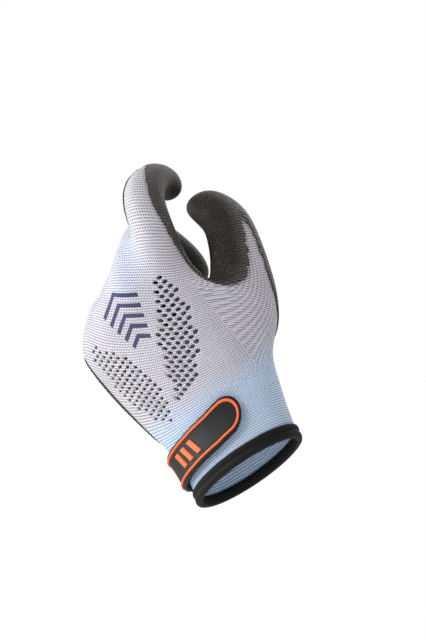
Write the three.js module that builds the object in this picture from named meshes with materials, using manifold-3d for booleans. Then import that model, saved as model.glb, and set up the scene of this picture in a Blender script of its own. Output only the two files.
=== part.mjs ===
// A seamless knitted work glove for the left hand with a dipped palm, in the form it has when worn: the
// index finger and the thumb meet in a pinch and the other fingers are curled.
// Millimetres. +Z runs from the wrist opening towards the fingers, -Y is the back of the hand and +X the
// thumb's side. The origin is the centre of the wrist opening.
import * as THREE from "three";
import Module from "manifold-3d";

// Driving dimensions
const LINER_WALL = 1.2;
const COAT_WALL = 0.8;
const GAP = 0.3;
const WRIST_BACK_DEG = 20;
const WRIST_TURN_DEG = 7;
const WRIST_HEIGHT = 27;

const PALM_COLUMNS = 20;
const DIGIT_COLUMNS = 8;

// Tables are lists of rows under named columns
const table = (columns, rows) =>
  rows.map((row) => Object.fromEntries(columns.map((name, i) => [name, row[i]])));

// Sections of the cuff and palm. `along` is the distance from the wrist, `turn` how far the section has
// turned from the cuff's frame (0) to the hand's (1), `slope` how much further along its thumb side lies,
// `parted` by how many degrees the columns there are pushed apart, and `coat` the coated arc in degrees,
// counted from the thumb's side over the back
const NO_COAT = null;
const PALM_SECTIONS = table(
  ["along", "turn", "across", "up", "halfWidth", "back", "palm", "slope", "parted", "coat"],
  [
    [-25.5, 0, -1.8, 0, 34.8, 26, 24, 0, 0, NO_COAT],
    [-1, 0.3, 0.8, 0, 36.7, 24.5, 25, 0, 4, NO_COAT],
    [18, 0.85, 2.7, 0, 44.3, 21, 26, 0, 14, [158, 332]],
    [46, 1, -1, 0.5, 47.5, 18, 25, 2, 16, [153, 348]],
    [74.5, 1, -4, 2, 46, 15, 20, 5, 10, [160, 360]],
  ],
);
const THUMB_FIRST_ROW = 2;
const THUMB_LAST_ROW = 4;

// Fingers from the index to the little one: the knuckle's place in the hand's frame, the three bones, the
// bend at each joint, the splay towards the thumb and the roll. Bends, splay and roll are in degrees
const FINGERS = table(
  ["across", "along", "up", "bones", "bends", "splay", "roll", "size"],
  [
    [27, 88, 2, [45, 27, 22], [18, 66, 47], 10, 6, 1.0],
    [4.5, 96, 9, [50, 31, 23], [67, 74, 35], 1, 0, 0.95],
    [-19, 87, 4, [46, 29, 23], [72, 65, 35], -2, 0, 0.92],
    [-40, 78, -2, [37, 21, 20], [66, 62, 35], -6, 3, 0.87],
  ],
);
// Stations along a finger: the bone, how far along it, the section and the coated arc
const FINGER_STATIONS = table(
  ["bone", "at", "halfWidth", "back", "palm", "coat"],
  [
    [0, 0, 11.8, 12, 13.5, [190, 355]],
    [0, 0.42, 10.8, 11.5, 11.5, [160, 385]],
    [1, 0, 10.2, 14.2, 10, [137, 403]],
    [2, 0, 9, 10, 9, [100, 440]],
    [2, 0.65, 8, 7.4, 8, [60, 480]],
  ],
);

// Thumb sections from the palm out, in the hand's frame. `lean` is how much further along its web side lies
const THUMB_SECTIONS = table(
  ["across", "along", "up", "halfWidth", "halfDepth", "lean", "coat"],
  [
    [47, 48.5, -12, 15.5, 10, 10, [104, 394]],
    [48.5, 67, -28, 14.5, 11, 4, [99, 410]],
    [48, 81, -38, 13.5, 12.5, 0, [99, 422]],
    [46, 94, -48, 12.5, 11.5, 0, [91, 429]],
    [35, 107, -55.5, 11, 10, 0, [60, 480]],
  ],
);
// A column of the thumb runs along the middle of the uncoated wedge on its back
const THUMB_FIRST_DEG = 35;
const THUMB_ROOT = { across: 30, along: 24, up: 0 };
const THUMB_TIP = { across: 15, along: 115.5, up: -60 };
const THUMB_OUTER_SIDE = { across: 0.3, along: -0.38, up: -0.84 };

// The binding is folded over the edge of the cuff: height and distance out from the knit, round its profile
const BINDING_PROFILE = table(
  ["z", "out"],
  [
    [7.2, 0.3],
    [1.2, 0.3],
    [1.2, -1.5],
    [6, -1.5],
    [5.6, -2.3],
    [0, -2.1],
    [0, 1.3],
    [3.3, 1.7],
    [3.9, 1.1],
    [4.5, 1.7],
  ],
);

// The wrist strap lies round the cuff: its middle line, as an angle from the thumb's side over the back
// and a height. It starts at the free end, and all other measures run along and across it from there
const STRAP_LINE = table(
  ["deg", "z"],
  [
    [36, 25.5],
    [70, 22.5],
    [110, 21.5],
    [250, 21],
  ],
);
const BAND = {
  from: 8,
  to: 112,
  halfWidth: 8,
  rootFrom: 64,
  rootHalfWidth: 11.5,
  taper: 8,
  inner: 0.5,
  outer: 1.7,
};
const BAND_STOPS = 22;
const TAB_STOPS = 14;
const ARC_STOPS = 11;
const TAB = { from: 0, to: 70, halfWidth: 9.6, inner: 2, outer: 4.3 };
const RIM = { inset: 1.5, width: 1.7, inner: 4.9, outer: 5.5 };
const BARS = { middle: 37, count: 3, pitch: 6.2, width: 3, height: 9, slant: 3.5 };

// Vent holes on the back of the hand: for each distance from the wrist, the span across
const THUMB_SIDE_VENTS = table(
  ["along", "from", "to"],
  [
    [27, -5.5, 4],
    [35, -1.5, 16.5],
    [45, 2.7, 25.5],
    [60, 8, 31.5],
    [76, 18, 33],
    [90, 27, 31],
  ],
);
const LITTLE_SIDE_VENTS = table(
  ["along", "from", "to"],
  [
    [22, -20, -12],
    [30, -28, -9.5],
    [40, -33, -8],
    [50, -36, -9],
    [60, -38, -14],
    [70, -39, -21],
    [78, -38, -34],
  ],
);
const VENT = { pitch: 5.4, rowPitch: 4.8, halfLength: 1.8, halfWidth: 1.3, depth: 3 };

const radians = THREE.MathUtils.degToRad;
const point = (x, y, z) => new THREE.Vector3(x, y, z);
const mix = (a, b, share = 0.5) => a.clone().lerp(b, share);
const around = (axis, deg, v) => v.clone().applyAxisAngle(axis, radians(deg));

// The hand's frame: bent back at the wrist and turned towards the thumb
const WRIST = point(0, 0, WRIST_HEIGHT);
const CUFF_FRAME = { radial: point(1, 0, 0), distal: point(0, 0, 1), dorsal: point(0, -1, 0) };
const HAND_FRAME = turnedFrame(1);

function turnedFrame(share) {
  const back = (v) => around(point(1, 0, 0), share * WRIST_BACK_DEG, v);
  const dorsal = back(CUFF_FRAME.dorsal);
  const turn = (v) => around(dorsal, -share * WRIST_TURN_DEG, back(v));
  return { radial: turn(CUFF_FRAME.radial), distal: turn(CUFF_FRAME.distal), dorsal };
}

function inHand({ across, along, up }, frame = HAND_FRAME) {
  return point(0, 0, 0)
    .addScaledVector(frame.radial, across)
    .addScaledVector(frame.distal, along)
    .addScaledVector(frame.dorsal, up);
}

// A ring of control points pulls in when it is smoothed, so it starts wider by this factor
const swell = (columns) => 6 / (4 + 2 * Math.cos((2 * Math.PI) / columns));

// How far a place on a section lies inside the coated arc, in degrees, below zero outside it
const NEVER_COATED = -40;
function coatDepth(coat, deg) {
  if (coat === NO_COAT) return NEVER_COATED;
  const [from, to] = coat;
  const off = THREE.MathUtils.euclideanModulo(deg - (from + to) / 2 + 180, 360) - 180;
  return (to - from) / 2 - Math.abs(off);
}

// Columns next to the thumb's side are pushed apart to make room for the thumb
function pushedApart(deg, parted) {
  const off = THREE.MathUtils.euclideanModulo(deg + 180, 360) - 180;
  const share = Math.max(0, 1 - Math.abs(off) / 90);
  return deg + Math.sign(off) * parted * share;
}

// One ring of cage points. The first lies on the thumb's side, then come the back and the little finger's
// side. The fourth value of a point is its depth inside the coating
function ringPoints(section) {
  const { centre, radial, dorsal, halfWidth, back, palm, coat, rise, columns } = section;
  const { firstDeg = 0, parted = 0 } = section;
  const grow = swell(columns);
  return Array.from({ length: columns }, (_, k) => {
    const deg = pushedApart(firstDeg + (360 * k) / columns, parted);
    const side = Math.cos(radians(deg));
    const up = Math.sin(radians(deg));
    const p = centre
      .clone()
      .addScaledVector(radial, side * halfWidth * grow)
      .addScaledVector(dorsal, up * (up > 0 ? back : palm) * grow);
    if (rise) p.addScaledVector(rise, side);
    return new THREE.Vector4(p.x, p.y, p.z, coatDepth(coat, deg));
  });
}

const cage = { points: [], quads: [] };
const addPoint = (p) => cage.points.push(p) - 1;

function joinRings(lower, upper, skip = () => false) {
  lower.forEach((a, k) => {
    const next = (k + 1) % lower.length;
    if (!skip(k)) cage.quads.push([a, upper[k], upper[next], lower[next]]);
  });
}

function palmRow(section) {
  const frame = turnedFrame(section.turn);
  const centre = WRIST.clone().add(inHand(section, frame));
  const rise = frame.distal.clone().multiplyScalar(section.slope);
  return ringPoints({ ...section, ...frame, centre, rise, columns: PALM_COLUMNS });
}

function fingerRings(finger) {
  const { radial: handRadial, distal, dorsal: handDorsal } = HAND_FRAME;
  const straight = around(handDorsal, -finger.splay, distal);
  const dorsal = around(straight, finger.roll, handDorsal);
  const radial = straight.clone().cross(dorsal).normalize();
  if (radial.dot(handRadial) < 0) radial.negate();
  const direction = (deg) => around(radial, -deg, straight);
  const turned = [0];
  finger.bends.forEach((deg) => turned.push(turned.at(-1) + deg));
  const joints = [WRIST.clone().add(inHand(finger))];
  finger.bones.forEach((length, i) =>
    joints.push(joints[i].clone().addScaledVector(direction(turned[i + 1]), length)),
  );
  const rings = FINGER_STATIONS.map((station) => {
    const before = station.at === 0 ? turned[station.bone] : turned[station.bone + 1];
    const deg = (before + turned[station.bone + 1]) / 2;
    return ringPoints({
      centre: mix(joints[station.bone], joints[station.bone + 1], station.at),
      radial,
      dorsal: around(radial, -deg, dorsal),
      halfWidth: station.halfWidth * finger.size,
      back: station.back * finger.size,
      palm: station.palm * finger.size,
      coat: station.coat,
      columns: DIGIT_COLUMNS,
    });
  });
  return { rings, tip: joints.at(-1) };
}

// A row that crosses all four fingers: where two neighbours meet, the point lies between their rings
function sharedRow(fingers, station) {
  const rings = fingers.map((finger) => finger.rings[station]);
  const row = new Array(PALM_COLUMNS);
  row[0] = rings[0][0];
  row[PALM_COLUMNS / 2] = rings[3][4];
  rings.forEach((ring, i) => {
    const before = rings[i - 1];
    row[1 + 2 * i] = before ? mix(before[3], ring[1]) : ring[1];
    row[2 + 2 * i] = ring[2];
    row[18 - 2 * i] = ring[6];
    row[19 - 2 * i] = before ? mix(before[5], ring[7]) : ring[7];
  });
  row[9] = rings[3][3];
  row[11] = rings[3][5];
  return row;
}

const FULLY_COATED = 60;
// A finger or the thumb: rings that grow from a starting ring, closed at the tip
function addDigit(start, rings, tipPlace) {
  let ring = start;
  rings.forEach((points) => {
    const next = points.map(addPoint);
    joinRings(ring, next);
    ring = next;
  });
  const tip = addPoint(new THREE.Vector4(tipPlace.x, tipPlace.y, tipPlace.z, FULLY_COATED));
  for (let k = 0; k < DIGIT_COLUMNS; k += 2) {
    cage.quads.push([ring[k], tip, ring[(k + 2) % DIGIT_COLUMNS], ring[k + 1]]);
  }
}

function thumbRings() {
  const place = (spot) => WRIST.clone().add(inHand(spot));
  const tip = place(THUMB_TIP);
  const centres = THUMB_SECTIONS.map(place);
  const rings = THUMB_SECTIONS.map((section, i) => {
    const before = centres[i - 1] ?? place(THUMB_ROOT);
    const along = (centres[i + 1] ?? tip).clone().sub(before).normalize();
    const side = inHand(THUMB_OUTER_SIDE);
    const radial = side.addScaledVector(along, -side.dot(along)).normalize();
    return ringPoints({
      centre: centres[i],
      radial,
      dorsal: radial.clone().cross(along),
      halfWidth: section.halfWidth,
      back: section.halfDepth,
      palm: section.halfDepth,
      coat: section.coat,
      rise: HAND_FRAME.distal.clone().multiplyScalar(-section.lean),
      columns: DIGIT_COLUMNS,
      firstDeg: THUMB_FIRST_DEG,
    });
  });
  return { rings, tip };
}

function buildCage() {
  const fingers = FINGERS.map(fingerRings);
  const rows = PALM_SECTIONS.map(palmRow);
  rows.push(sharedRow(fingers, 0), sharedRow(fingers, 1));
  const insideHole = (row, k) => row > THUMB_FIRST_ROW && row < THUMB_LAST_ROW && k === 0;
  const indexed = rows.map((row, i) => row.map((p, k) => (insideHole(i, k) ? null : addPoint(p))));
  const inThumbHole = (row, k) =>
    row >= THUMB_FIRST_ROW && row < THUMB_LAST_ROW && (k === 0 || k === PALM_COLUMNS - 1);
  for (let row = 0; row + 1 < indexed.length; row += 1) {
    joinRings(indexed[row], indexed[row + 1], (k) => inThumbHole(row, k));
  }
  // Fingers grow from the last shared row, with one point in each crotch between neighbours
  const last = indexed.at(-1);
  const crotches = [last[0]];
  for (let i = 1; i < fingers.length; i += 1) {
    crotches.push(addPoint(mix(fingers[i - 1].rings[1][4], fingers[i].rings[1][0])));
  }
  crotches.push(last[PALM_COLUMNS / 2]);
  fingers.forEach((finger, i) => {
    const back = [1, 2, 3].map((k) => last[k + 2 * i]);
    const palm = [17, 18, 19].map((k) => last[k - 2 * i]);
    addDigit([crotches[i], ...back, crotches[i + 1], ...palm], finger.rings.slice(2), finger.tip);
  });
  // The thumb grows from the hole on its side of the palm
  const holeRows = indexed.slice(THUMB_FIRST_ROW, THUMB_LAST_ROW + 1);
  const hole = [
    ...holeRows.map((row) => row[1]),
    holeRows.at(-1)[0],
    ...holeRows.map((row) => row[PALM_COLUMNS - 1]).reverse(),
    holeRows[0][0],
  ];
  const thumb = thumbRings();
  addDigit(hole, thumb.rings, thumb.tip);
}

// Catmull-Clark smoothing of an open quad mesh, one level
function smooth({ points, quads }) {
  const edges = new Map();
  const keyOf = (a, b) => (a < b ? `${a}_${b}` : `${b}_${a}`);
  const mean = (list) =>
    list.reduce((sum, p) => sum.add(p), new THREE.Vector4(0, 0, 0, 0)).multiplyScalar(1 / list.length);
  const facePoints = quads.map((quad) => mean(quad.map((i) => points[i])));
  quads.forEach((quad, face) =>
    quad.forEach((a, k) => {
      const b = quad[(k + 1) % quad.length];
      const key = keyOf(a, b);
      if (!edges.has(key)) edges.set(key, { a, b, middle: mix(points[a], points[b]), faces: [] });
      edges.get(key).faces.push(facePoints[face]);
    }),
  );
  const near = points.map(() => ({ faces: [], middles: [], border: [] }));
  quads.forEach((quad, face) => quad.forEach((i) => near[i].faces.push(facePoints[face])));
  edges.forEach((edge) => {
    const list = edge.faces.length === 1 ? "border" : "middles";
    [edge.a, edge.b].forEach((i) => near[i][list].push(edge.middle));
  });
  const made = points.map((p, i) => {
    const { faces, middles, border } = near[i];
    if (border.length) return mix(p, mean(border));
    const n = faces.length;
    return mean(faces)
      .addScaledVector(mean(middles), 2)
      .addScaledVector(p, n - 3)
      .multiplyScalar(1 / n);
  });
  const faceIndex = facePoints.map((p) => made.push(p) - 1);
  edges.forEach((edge) => {
    const inner = edge.faces.length === 2;
    edge.index = made.push(inner ? mix(mean(edge.faces), edge.middle) : edge.middle.clone()) - 1;
  });
  const split = quads.flatMap((quad, face) =>
    quad.map((a, k) => {
      const next = edges.get(keyOf(a, quad[(k + 1) % 4])).index;
      const last = edges.get(keyOf(quad[(k + 3) % 4], a)).index;
      return [a, next, faceIndex[face], last];
    }),
  );
  return { points: made, quads: split };
}

const flat = (p) => point(p.x, p.y, p.z);

function vertexNormals({ points, quads }) {
  const normals = points.map(() => point(0, 0, 0));
  quads.forEach((quad) => {
    const [a, b, c, d] = quad.map((i) => flat(points[i]));
    const normal = c.sub(a).cross(d.sub(b));
    quad.forEach((i) => normals[i].add(normal));
  });
  return normals.map((n) => n.normalize());
}

// The part of a surface inside the coating, cut along the line where the depth is zero
const SNAP = 0.12;
function coatedPart({ points, normals, triangles }) {
  const depth = points.map((p) => p.w);
  triangles.forEach((corners) =>
    corners.forEach((a, k) => {
      const b = corners[(k + 1) % 3];
      if (depth[a] * depth[b] >= 0) return;
      const share = depth[a] / (depth[a] - depth[b]);
      if (share < SNAP) depth[a] = 0;
      else if (share > 1 - SNAP) depth[b] = 0;
    }),
  );
  const kept = { points: [], normals: [], triangles: [] };
  const index = new Map();
  const keep = (key, p, n) => {
    if (!index.has(key)) {
      index.set(key, kept.points.push(p) - 1);
      kept.normals.push(n);
    }
    return index.get(key);
  };
  triangles.forEach((corners) => {
    if (!corners.some((i) => depth[i] > 0)) return;
    const inside = [];
    corners.forEach((a, k) => {
      const b = corners[(k + 1) % 3];
      if (depth[a] >= 0) inside.push(keep(`${a}`, points[a], normals[a]));
      if (depth[a] * depth[b] < 0) {
        const [low, high] = a < b ? [a, b] : [b, a];
        const share = depth[low] / (depth[low] - depth[high]);
        const normal = mix(normals[low], normals[high], share).normalize();
        inside.push(keep(`${low}_${high}`, mix(points[low], points[high], share), normal));
      }
    });
    for (let i = 2; i < inside.length; i += 1) kept.triangles.push([inside[0], inside[i - 1], inside[i]]);
  });
  return kept;
}

// A closed wall between two offsets of the same surface, with a rim along its open edges
function wall({ points, normals, triangles }, outer, inner) {
  const count = points.length;
  const positions = [outer, inner].flatMap((offset) =>
    points.flatMap((p, i) => flat(p).addScaledVector(normals[i], offset).toArray()),
  );
  const directed = new Set(triangles.flatMap((t) => t.map((a, k) => `${a}_${t[(k + 1) % 3]}`)));
  const faces = triangles.flatMap(([a, b, c]) => [a, b, c, a + count, c + count, b + count]);
  triangles.forEach((t) =>
    t.forEach((a, k) => {
      const b = t[(k + 1) % 3];
      if (!directed.has(`${b}_${a}`)) faces.push(a, a + count, b, b, a + count, b + count);
    }),
  );
  return new THREE.BufferGeometry()
    .setAttribute("position", new THREE.Float32BufferAttribute(positions, 3))
    .setIndex(faces);
}

const trianglesOf = ({ quads }) =>
  quads.flatMap(([a, b, c, d]) => [
    [a, b, c],
    [a, c, d],
  ]);

const bothSides = new THREE.MeshBasicMaterial({ side: THREE.DoubleSide });
const ray = new THREE.Raycaster();

// Walls that face each other across a crease are moved apart until there is room for the coating on both
const CREASE_ROOM = 2 * (GAP + COAT_WALL) + GAP;
const CREASE_ROUNDS = 6;
const OFF_THE_FACE = 0.01;
function openCreases(surface) {
  const triangles = trianglesOf(surface);
  for (let round = 0; round < CREASE_ROUNDS; round += 1) {
    const normals = vertexNormals(surface);
    const facing = new THREE.Mesh(wall({ ...surface, normals, triangles }, 0, -LINER_WALL), bothSides);
    const moves = surface.points.map((p, i) => {
      ray.set(flat(p).addScaledVector(normals[i], OFF_THE_FACE), normals[i]);
      const hit = ray.intersectObject(facing)[0];
      return hit && hit.distance < CREASE_ROOM ? (CREASE_ROOM - hit.distance) / 2 : 0;
    });
    surface.points.forEach((p, i) => {
      const { x, y, z } = normals[i];
      p.addScaledVector(new THREE.Vector4(x, y, z, 0), -moves[i]);
    });
  }
}

buildCage();
const smoothed = smooth(cage);
openCreases(smoothed);
const skin = {
  points: smoothed.points,
  normals: vertexNormals(smoothed),
  triangles: trianglesOf(smoothed),
};
const linerShell = wall(skin, 0, -LINER_WALL);

// Where a line that comes from outside first meets the glove
const target = new THREE.Mesh(linerShell, bothSides);
const FAR_OUT = 200;
function firstHit(through, outward) {
  ray.set(through.clone().addScaledVector(outward, FAR_OUT), outward.clone().negate());
  return ray.intersectObject(target)[0];
}

// The triangles of a grid of points, stored row after row, that closes on itself when told to
function gridTriangles(rows, columns, closed = false) {
  const triangles = [];
  for (let i = 0; i < (closed ? rows : rows - 1); i += 1) {
    for (let j = 0; j + 1 < columns; j += 1) {
      const a = i * columns + j;
      const b = ((i + 1) % rows) * columns + j;
      triangles.push([a, a + 1, b + 1], [a, b + 1, b]);
    }
  }
  return triangles;
}

// The binding follows the knit round the opening, one profile at each of the knit's corners there
const EDGE_HEIGHT = WRIST_HEIGHT + PALM_SECTIONS[0].along;
const JUST_ABOVE = 0.05;
function bindingGeometry() {
  const outwards = skin.points
    .filter((p) => p.z < EDGE_HEIGHT + JUST_ABOVE)
    .map((p) => point(p.x, p.y, 0).normalize())
    .sort((a, b) => Math.atan2(-a.y, a.x) - Math.atan2(-b.y, b.x));
  const profile = [...BINDING_PROFILE, BINDING_PROFILE[0]];
  const positions = outwards.flatMap((outward) =>
    profile.flatMap(({ z, out }) => {
      const level = point(0, 0, Math.max(z, EDGE_HEIGHT + JUST_ABOVE));
      return firstHit(level, outward).point.setZ(z).addScaledVector(outward, out).toArray();
    }),
  );
  return new THREE.BufferGeometry()
    .setAttribute("position", new THREE.Float32BufferAttribute(positions, 3))
    .setIndex(gridTriangles(outwards.length, profile.length, true).flat());
}

// The strap's middle line as a list of stops with the distance walked from its free end
const STRAP_STEP_DEG = 2;
function onCuff(deg, z) {
  const outward = point(Math.cos(radians(deg)), -Math.sin(radians(deg)), 0);
  return { place: firstHit(point(0, 0, z), outward).point, outward };
}
function strapHeight(deg) {
  const i = Math.max(1, STRAP_LINE.findIndex((stop) => stop.deg >= deg));
  const [a, b] = [STRAP_LINE[i - 1], STRAP_LINE[i]];
  return THREE.MathUtils.mapLinear(deg, a.deg, b.deg, a.z, b.z);
}
const strapStops = [];
for (let deg = STRAP_LINE[0].deg; deg <= STRAP_LINE.at(-1).deg; deg += STRAP_STEP_DEG) {
  const { place } = onCuff(deg, strapHeight(deg));
  const last = strapStops.at(-1);
  strapStops.push({ deg, place, walked: last ? last.walked + place.distanceTo(last.place) : 0 });
}

// A place on the knit under the strap, given along the strap and across it
function underStrap(along, across) {
  const i = Math.max(1, strapStops.findIndex((stop) => stop.walked >= along));
  const [a, b] = [strapStops[i - 1], strapStops[i]];
  const deg = THREE.MathUtils.mapLinear(along, a.walked, b.walked, a.deg, b.deg);
  return onCuff(deg, strapHeight(deg) + across);
}

// A slab on the strap's line from a grid of [along, across] places
function strapSlab(grid, { inner, outer, closed = false }) {
  const spots = grid.flat().map(([along, across]) => underStrap(along, across));
  const patch = {
    points: spots.map((spot) => spot.place),
    normals: spots.map((spot) => spot.outward),
    triangles: gridTriangles(grid.length, grid[0].length, closed),
  };
  return wall(patch, outer, inner);
}

const spread = (from, to, count) =>
  Array.from({ length: count }, (_, i) => THREE.MathUtils.lerp(from, to, i / (count - 1)));

// Half the width of a strip with a round end, at a distance from that end
const roundedHalf = (distance, half) =>
  distance < half ? Math.sqrt(half ** 2 - (half - distance) ** 2) : half;
const ROUND_END_SHARES = [0.06, 0.24, 0.5, 0.78, 1];

function roundEndedStrip({ from, to, halfWidth }, count, widen = () => 0) {
  const ends = ROUND_END_SHARES.map((share) => from + share * halfWidth);
  const stops = [...ends, ...spread(ends.at(-1), to, count).slice(1)];
  return stops.map((along) => {
    const half = roundedHalf(along - from, halfWidth) + widen(along);
    return [
      [along, -half],
      [along, 0],
      [along, half],
    ];
  });
}

function bandGrid() {
  const { rootFrom, taper, rootHalfWidth, halfWidth } = BAND;
  const widen = (along) =>
    (rootHalfWidth - halfWidth) * THREE.MathUtils.smoothstep(along, rootFrom - taper, rootFrom);
  return roundEndedStrip(BAND, BAND_STOPS, widen);
}

// The outline of the tab, moved in by an inset: along one side, round the end and back
function tabOutline(inset) {
  const half = TAB.halfWidth - inset;
  const centre = TAB.from + TAB.halfWidth;
  const side = spread(TAB.to - inset, centre, TAB_STOPS);
  const arc = spread(-90, 90, ARC_STOPS).slice(1, -1);
  return [
    ...side.map((along) => [along, -half]),
    ...arc.map((deg) => [centre - half * Math.cos(radians(deg)), half * Math.sin(radians(deg))]),
    ...side.reverse().map((along) => [along, half]),
  ];
}

function rimGrid() {
  const outside = tabOutline(RIM.inset);
  const inside = tabOutline(RIM.inset + RIM.width);
  return outside.map((place, i) => [inside[i], place]);
}

function barGrid(number) {
  const middle = BARS.middle + (number - (BARS.count - 1) / 2) * BARS.pitch;
  const edge = (side) => [-1, 1].map((end) => [
    middle + (end * BARS.slant) / 2 + (side * BARS.width) / 2,
    (end * BARS.height) / 2,
  ]);
  return [edge(-1), edge(1)];
}

// Vent holes, staggered from row to row, each along the knit's own normal
function spanAt(table, along) {
  const i = table.findIndex((row) => row.along >= along);
  const [a, b] = [table[i - 1], table[i]];
  const at = (name) => THREE.MathUtils.mapLinear(along, a.along, b.along, a[name], b[name]);
  return [at("from"), at("to")];
}

function ventPlaces(table) {
  const places = [];
  const last = table.at(-1).along;
  for (let row = 1; table[0].along + row * VENT.rowPitch <= last; row += 1) {
    const along = table[0].along + row * VENT.rowPitch;
    const [from, to] = spanAt(table, along);
    const shift = (row % 2) / 2;
    for (let i = Math.ceil(from / VENT.pitch - shift); (i + shift) * VENT.pitch <= to; i += 1) {
      places.push({ across: (i + shift) * VENT.pitch, along, up: 0 });
    }
  }
  return places;
}

const wasm = await Module();
wasm.setup();
const { Manifold, Mesh } = wasm;

function solidOf(geometry) {
  return new Manifold(
    new Mesh({
      numProp: 3,
      vertProperties: geometry.getAttribute("position").array,
      triVerts: new Uint32Array(geometry.index.array),
    }),
  );
}

function geometryOf(solid) {
  const { vertProperties, triVerts } = solid.getMesh();
  return new THREE.BufferGeometry()
    .setAttribute("position", new THREE.BufferAttribute(vertProperties, 3))
    .setIndex(new THREE.BufferAttribute(triVerts, 1));
}

function ventCutter(place) {
  const { point: centre, face } = firstHit(WRIST.clone().add(inHand(place)), HAND_FRAME.dorsal);
  const { halfLength, halfWidth, depth } = VENT;
  const outline = [
    [0, -halfLength],
    [halfWidth, 0],
    [0, halfLength],
    [-halfWidth, 0],
  ];
  const out = face.normal.dot(HAND_FRAME.dorsal) < 0 ? face.normal.clone().negate() : face.normal;
  const side = HAND_FRAME.distal.clone().cross(out).normalize();
  const along = out.clone().cross(side);
  const turn = new THREE.Matrix4().makeBasis(side, along, out).setPosition(centre);
  return Manifold.extrude([outline], 2 * depth, 0, 0, [1, 1], true).transform(turn.elements);
}

const linerSolid = solidOf(linerShell);
const vents = [THUMB_SIDE_VENTS, LITTLE_SIDE_VENTS].flatMap(ventPlaces).map(ventCutter);
const coatSolid = solidOf(wall(coatedPart(skin), GAP + COAT_WALL, GAP));

const soft = (color) => new THREE.MeshStandardMaterial({ color, roughness: 0.9, metalness: 0 });
const KNIT = soft(0xc4c8d2);
const COATING = soft(0x3a3838);
const BLACK_TAPE = soft(0x1c1c1e);
const BLACK_RUBBER = soft(0x222224);
const ORANGE_RUBBER = soft(0xeb6e3c);

const glove = new THREE.Group();
function addPiece(name, geometry, material) {
  const mesh = new THREE.Mesh(geometry, material);
  mesh.name = name;
  glove.add(mesh);
}
addPiece("knit_liner", geometryOf(linerSolid.subtract(Manifold.union(vents))), KNIT);
addPiece("palm_coating", geometryOf(coatSolid), COATING);
addPiece("cuff_binding", bindingGeometry(), BLACK_TAPE);
addPiece("strap_band", strapSlab(bandGrid(), BAND), BLACK_TAPE);
addPiece("strap_tab", strapSlab(roundEndedStrip(TAB, TAB_STOPS), TAB), BLACK_RUBBER);
addPiece("tab_rim", strapSlab(rimGrid(), { ...RIM, closed: true }), ORANGE_RUBBER);
for (let i = 0; i < BARS.count; i += 1) {
  addPiece(`tab_bar_${i + 1}`, strapSlab(barGrid(i), RIM), ORANGE_RUBBER);
}

export default glove;
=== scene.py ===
# The look of a knitted work glove with a dipped palm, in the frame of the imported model.
# Shapes are worked out in millimetres and turned into metres when a mesh is made.
import math

import bpy
import numpy as np
from mathutils import Matrix, Vector, noise
from mathutils.bvhtree import BVHTree


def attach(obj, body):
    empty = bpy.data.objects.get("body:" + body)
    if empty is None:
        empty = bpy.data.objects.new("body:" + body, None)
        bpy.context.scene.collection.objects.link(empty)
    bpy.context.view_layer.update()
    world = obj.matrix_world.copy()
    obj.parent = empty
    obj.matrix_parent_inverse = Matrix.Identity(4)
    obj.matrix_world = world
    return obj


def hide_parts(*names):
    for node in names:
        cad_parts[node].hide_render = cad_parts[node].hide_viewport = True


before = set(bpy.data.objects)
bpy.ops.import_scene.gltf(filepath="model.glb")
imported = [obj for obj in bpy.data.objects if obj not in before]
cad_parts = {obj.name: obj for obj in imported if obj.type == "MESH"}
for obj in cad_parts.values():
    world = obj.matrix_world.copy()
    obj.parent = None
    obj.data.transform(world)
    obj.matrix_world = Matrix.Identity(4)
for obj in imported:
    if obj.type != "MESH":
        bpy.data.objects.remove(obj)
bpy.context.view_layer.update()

MM = 0.001


def table(columns, rows):
    return [dict(zip(columns, row)) for row in rows]


# The liner's thickness, and the two faces of the coating as heights off the knit
LINER_WALL = 1.2
COAT_INNER = 0.15
COAT_OUTER = 0.8

# The hand is bent back and turned at the wrist
WRIST_BACK_DEG = 20
WRIST_TURN_DEG = 7
WRIST_HEIGHT = 27

# Points round a ring of the palm and of a finger
PALM_COLUMNS = 20
DIGIT_COLUMNS = 8
HALF_PALM = PALM_COLUMNS // 2
HALF_DIGIT = DIGIT_COLUMNS // 2

# Knit pitches: a wale is one stitch wide, a course one stitch high
WALE = 1.35
COURSE = 1.45
PALM_COLUMN_WIDTH = 13.0
DIGIT_COLUMN_WIDTH = 8.4

# The courses climb towards the thumb: the climb grows between two distances from the wrist,
# and fades within so many rings of a finger
FAN = {"from": 8, "to": 70, "slope": 0.48, "fade": 3}

# Sections of the cuff and palm, as in the solids. turn is the share of the wrist's bend, slope
# lifts the thumb's side, parted turns the columns away from the thumb, and coat is the coated
# arc in degrees. A section with no coat counts as so many degrees outside the arc
NO_COAT = None
UNCOATED_DEG = -40
PALM_SECTIONS = table(
    ["along", "turn", "across", "up", "half_width", "back", "palm", "slope", "parted", "coat"],
    [
        [-25.5, 0, -1.8, 0, 34.8, 26, 24, 0, 0, NO_COAT],
        [-1, 0.3, 0.8, 0, 36.7, 24.5, 25, 0, 4, NO_COAT],
        [18, 0.85, 2.7, 0, 44.3, 21, 26, 0, 14, (158, 332)],
        [46, 1, -1, 0.5, 47.5, 18, 25, 2, 16, (153, 348)],
        [74.5, 1, -4, 2, 46, 15, 20, 5, 10, (160, 360)],
    ],
)
THUMB_FIRST_ROW = 2
THUMB_LAST_ROW = 4
THUMB_FIRST_DEG = 35
FINGERS = table(
    ["across", "along", "up", "bones", "bends", "splay", "roll", "size"],
    [
        [27, 88, 2, (45, 27, 22), (18, 66, 47), 10, 6, 1.0],
        [4.5, 96, 9, (50, 31, 23), (67, 74, 35), 1, 0, 0.95],
        [-19, 87, 4, (46, 29, 23), (72, 65, 35), -2, 0, 0.92],
        [-40, 78, -2, (37, 21, 20), (66, 62, 35), -6, 3, 0.87],
    ],
)
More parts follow.
